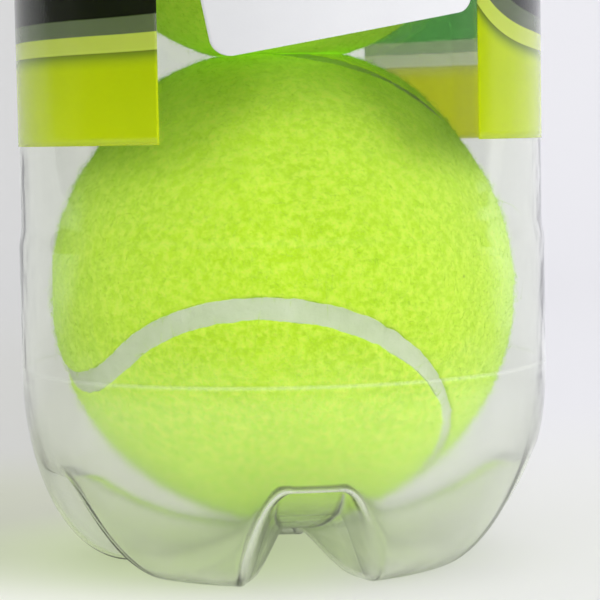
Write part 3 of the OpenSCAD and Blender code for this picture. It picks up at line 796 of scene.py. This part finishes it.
def settled(points, k):
    """Points of ball k's felt about its middle, pressed a little toward its neighbours.

    Toward a neighbour the nap swells along the stack, and it is held flat just short of the
    plane in which the balls meet.
    """
    for way in ([1] if k == 1 else [-1] if k == 3 else [-1, 1]):
        rise = points[..., 2] * way / BALL_RADIUS
        grow = NAP_SWELL * swell(np.clip((rise - 0.55) / 0.35, 0, 1))
        flat = NAP_FLAT - 0.05 * MM * np.clip(np.hypot(points[..., 0], points[..., 1]) / (9 * MM), 0, 1)
        level = np.minimum(points[..., 2] * way + grow, np.maximum(flat, points[..., 2] * way))
        points[..., 2] = way * level
    return points


def seam_strip(seed, along=190, across=11):
    """Closed band of cement along the seam line, in the ball's own frame.

    The line is four arcs of circles about axes near +Y, +X, -Y and -X. The band's face is
    hollow by a few tenths, it swells and shrinks slowly, and one thin crack crosses it where
    its ends meet.
    """
    cb, sb, end = math.cos(BOW), math.sin(BOW), math.acos(-math.tan(BOW) / math.tan(SEAM_MID))
    theta = np.linspace(-end, end, along, endpoint=False)[:, None]
    share = np.linspace(-1, 1, across)[None, :]
    arcs = []
    for axis, up, side, sign in (((0, cb, sb), (0, -sb, cb), (1, 0, 0), 1),
                                 ((cb, 0, -sb), (-sb, 0, -cb), (0, -1, 0), -1),
                                 ((0, -cb, sb), (0, sb, cb), (-1, 0, 0), 1),
                                 ((-cb, 0, -sb), (sb, 0, -cb), (0, 1, 0), -1)):
        round_axis = np.cos(theta)[..., None] * np.array(up) + np.sin(theta)[..., None] * np.array(side)
        line = math.cos(SEAM_MID) * np.array(axis) + math.sin(SEAM_MID) * round_axis
        half = (SEAM_WIDTH / 2 * seam_share(line, SEAM_CLOSE) + 0.4 * MM) / BALL_RADIUS
        radius = (SEAM_MID + sign * half * share)[..., None]
        arcs.append(np.cos(radius) * np.array(axis) + np.sin(radius) * round_axis)
    d = np.concatenate(arcs)
    p = d * BALL_RADIUS
    hollow = 1 - share ** 2
    grain = (0.05 * lattice_noise(p, 1.6 * MM, seed + 3) + 0.03 * lattice_noise(p, 0.5 * MM, seed + 4)) * MM
    crack = np.exp(-((np.arange(len(d)) - JOINT_AT * along) / 1.5) ** 2)[:, None]
    height = BALL_RADIUS - SEAM_SINK - 0.10 * MM * hollow + grain - 0.25 * MM * crack
    top = d * height[..., None]
    bottom = d * (CORE_RADIUS + 0.3 * MM)
    ring = np.concatenate([top, bottom[:, ::-1]], 1)
    n, m = ring.shape[:2]
    i, j = np.arange(n)[:, None] * m, np.arange(m)[None, :]
    after, beside = (i + m) % (n * m), (j + 1) % m
    quads = np.stack([i + j, i + beside, after + beside, after + j], -1)
    return ring.reshape(-1, 3), [quads.reshape(-1, 4)]


def felt_cloth():
    """Woven wool under a napped face: a patchy dye, paler tufts, dark specks of lint and a pale rim.

    The rim is a painted sheen: the colour turns paler where the nap is seen edge on. A faint
    painted glow over all the felt stands for its fluorescent dye and lifts its shade.
    """
    material, tree, out = new_material("optic yellow felt")
    place = node(tree, "TexCoord").outputs["Object"]
    patch = noise(tree, place, 120.0, 4.0, 0.6)
    tuft = noise(tree, place, 900.0, 4.0, 0.7)
    warp = node(tree, "Mix", ("Factor", 0.004), (4, place), (5, tuft.node.outputs["Color"]),
                data_type="VECTOR")
    hair = noise(tree, warp.outputs[1], 3200.0)
    deep = blend(tree, patch, (0.47, 0.72, 0.006, 1), (0.68, 0.94, 0.040, 1))
    dyed = blend(tree, between(tree, tuft, 0.42, 0.62), deep, (0.80, 1.0, 0.105, 1))
    lint = node(tree, "TexVoronoi", ("Vector", place), ("Scale", 100.0)).outputs["Distance"]
    dyed = blend(tree, between(tree, lint, 0.030, 0.015, 0.0, 0.6), dyed, (0.16, 0.26, 0.03, 1))
    # Painted sheen: paler colour where the felt is seen edge on
    edge_on = node(tree, "LayerWeight", ("Blend", 0.28)).outputs["Facing"]
    painted_sheen_colour = blend(tree, maths(tree, "MULTIPLY", edge_on, 0.7), dyed, (0.80, 0.99, 0.34, 1))
    mat_low = node(tree, "Bump", ("Strength", 0.7), ("Distance", 0.0004), ("Height", tuft))
    mat_high = node(tree, "Bump", ("Strength", 0.5), ("Distance", 0.0001), ("Height", hair),
                    ("Normal", mat_low.outputs["Normal"]))
    # Painted light: the emission is a faint glow over all the felt, for its fluorescent dye and to lift its
    # shade
    wool = node(tree, "BsdfPrincipled", ("Base Color", painted_sheen_colour), ("Roughness", 0.95),
                ("Sheen Weight", 0.35), ("Sheen Roughness", 0.5), ("Sheen Tint", (0.8, 1.0, 0.45, 1)),
                ("Emission Color", (0.50, 0.95, 0.02, 1)), ("Emission Strength", 0.21),
                ("Normal", mat_high.outputs["Normal"]))
    tree.links.new(wool.outputs[0], out.inputs["Surface"])
    return material


def seam_glue():
    """Dried cement: pale green, blotched and slightly grainy."""
    material, tree, out = new_material("seam cement")
    place = node(tree, "TexCoord").outputs["Object"]
    tone = mottle(tree, place, 260.0, 4.0, (0.66, 0.78, 0.48), (0.93, 0.99, 0.84))["Colour"]
    glue = node(tree, "BsdfPrincipled", ("Base Color", tone), ("Roughness", 0.6),
                ("Normal", relief(tree, place, 1500.0, 3.0, 0.4, 0.0002)["Normal"]))
    tree.links.new(glue.outputs[0], out.inputs["Surface"])
    return material


def nap_fibres(seed, close, count):
    """Closed needles with three sides that lie on a panel's felt, bent once, in the ball's frame."""
    rng = np.random.default_rng(seed)
    d = rng.normal(size=(count * 3, 3))
    d /= np.linalg.norm(d, axis=1)[:, None]
    d = d[seam_side(d) * BALL_RADIUS > SEAM_WIDTH / 2 * seam_share(d, close) + 0.1 * MM][:count]
    n = len(d)
    root = d * (felt_height(d, seed, close) - 0.10 * MM)[:, None]
    lay = np.cross(d, rng.normal(size=(n, 3)))
    lay /= np.linalg.norm(lay, axis=1)[:, None]
    curl = np.cross(d, lay) * rng.normal(0, 0.5, (n, 1)) + lay
    curl /= np.linalg.norm(curl, axis=1)[:, None]
    length = rng.gamma(5.0, 0.22, (n, 1)) * np.where(rng.random((n, 1)) < STRAY_SHARE, STRAY_LENGTH, 1.0) * MM
    stand = rng.uniform(0.15, 0.8, (n, 1))
    knee = root + length * 0.5 * (lay * np.cos(stand) + d * np.sin(stand))
    tip = knee + length * 0.5 * (curl * np.cos(stand * 0.3) + d * np.sin(stand * 0.3 - 0.05))
    width = rng.uniform(0.016, 0.034, (n, 1)) * MM
    axis_a = np.cross(lay, d)
    rings = []
    for centre, size in ((root, 1.0), (knee, 0.85)):
        for k in range(3):
            a = 2 * math.pi * k / 3
            rings.append(centre + width * size * (axis_a * math.cos(a) + d * math.sin(a)))
    points = np.stack(rings + [tip], 1).reshape(-1, 3)
    base = (np.arange(n) * 7)[:, None, None]
    tris = np.array([[0, 2, 1]] + [[3 + k, 3 + (k + 1) % 3, 6] for k in range(3)])[None]
    quads = np.array([[k, (k + 1) % 3, 3 + (k + 1) % 3, 3 + k] for k in range(3)])[None]
    return points, [(tris + base).reshape(-1, 3), (quads + base).reshape(-1, 4)]


def on_ball(points, k, flipped=False):
    """Points of the upper panel's frame taken to ball k; flipped gives the same for its twin panel."""
    if flipped:
        points = points[..., [1, 0, 2]] * [1, 1, -1]
    return settled(turned(points, BALL_TURNS[k - 1]), k) + [0, 0, BALL_FIRST + (k - 1) * BALL_STEP]


def hand_ball_piece(piece, material, k, replaced=None):
    """Gives a piece of ball k its material and body, and hides the CAD node it stands for."""
    piece.data.materials.append(material)
    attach(piece, f"ball_{k}")
    if replaced:
        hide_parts(replaced)


felt = felt_cloth()
nap = dull_material("felt nap", 700.0, 2.0, (0.54, 0.84, 0.03), (0.74, 0.98, 0.16), 0.8)
cement = seam_glue()
rubber = dull_material("core rubber", 90.0, 4.0, (0.008, 0.008, 0.009), (0.02, 0.02, 0.022), 0.65)

# The lowest ball has the finest felt, as the labels hide most of the others
for k in (1, 2, 3):
    rows, cols, fibres = (380, 118, 18000) if k == 1 else (240, 76, 8500)
    for side_name in ("a", "b"):
        seed = 10 * k + (side_name == "b")
        flipped = side_name == "b"
        close = SEAM_CLOSE[[1, 0, 2]] * [1, 1, -1] if flipped else SEAM_CLOSE
        d = panel_grid(seed, close, rows, cols)
        face = d * felt_height(d, seed, close)[..., None]
        points, faces = closed_sheet(face, d * (CORE_RADIUS + 0.12 * MM))
        panel = new_piece(f"ball_{k}_felt_{side_name}_cloth", on_ball(points, k, flipped), faces)
        hand_ball_piece(panel, felt, k, f"ball_{k}_felt_{side_name}")
        points, faces = nap_fibres(seed, close, fibres)
        fuzz = new_piece(f"ball_{k}_nap_{side_name}", on_ball(points, k, flipped), faces, smooth=False)
        hand_ball_piece(fuzz, nap, k)
    points, faces = seam_strip(10 * k)
    band = new_piece(f"ball_{k}_seam_cement", on_ball(points, k), faces)
    hand_ball_piece(band, cement, k, f"ball_{k}_seam")
    dress(rubber, f"ball_{k}_core_lower", f"ball_{k}_core_upper")
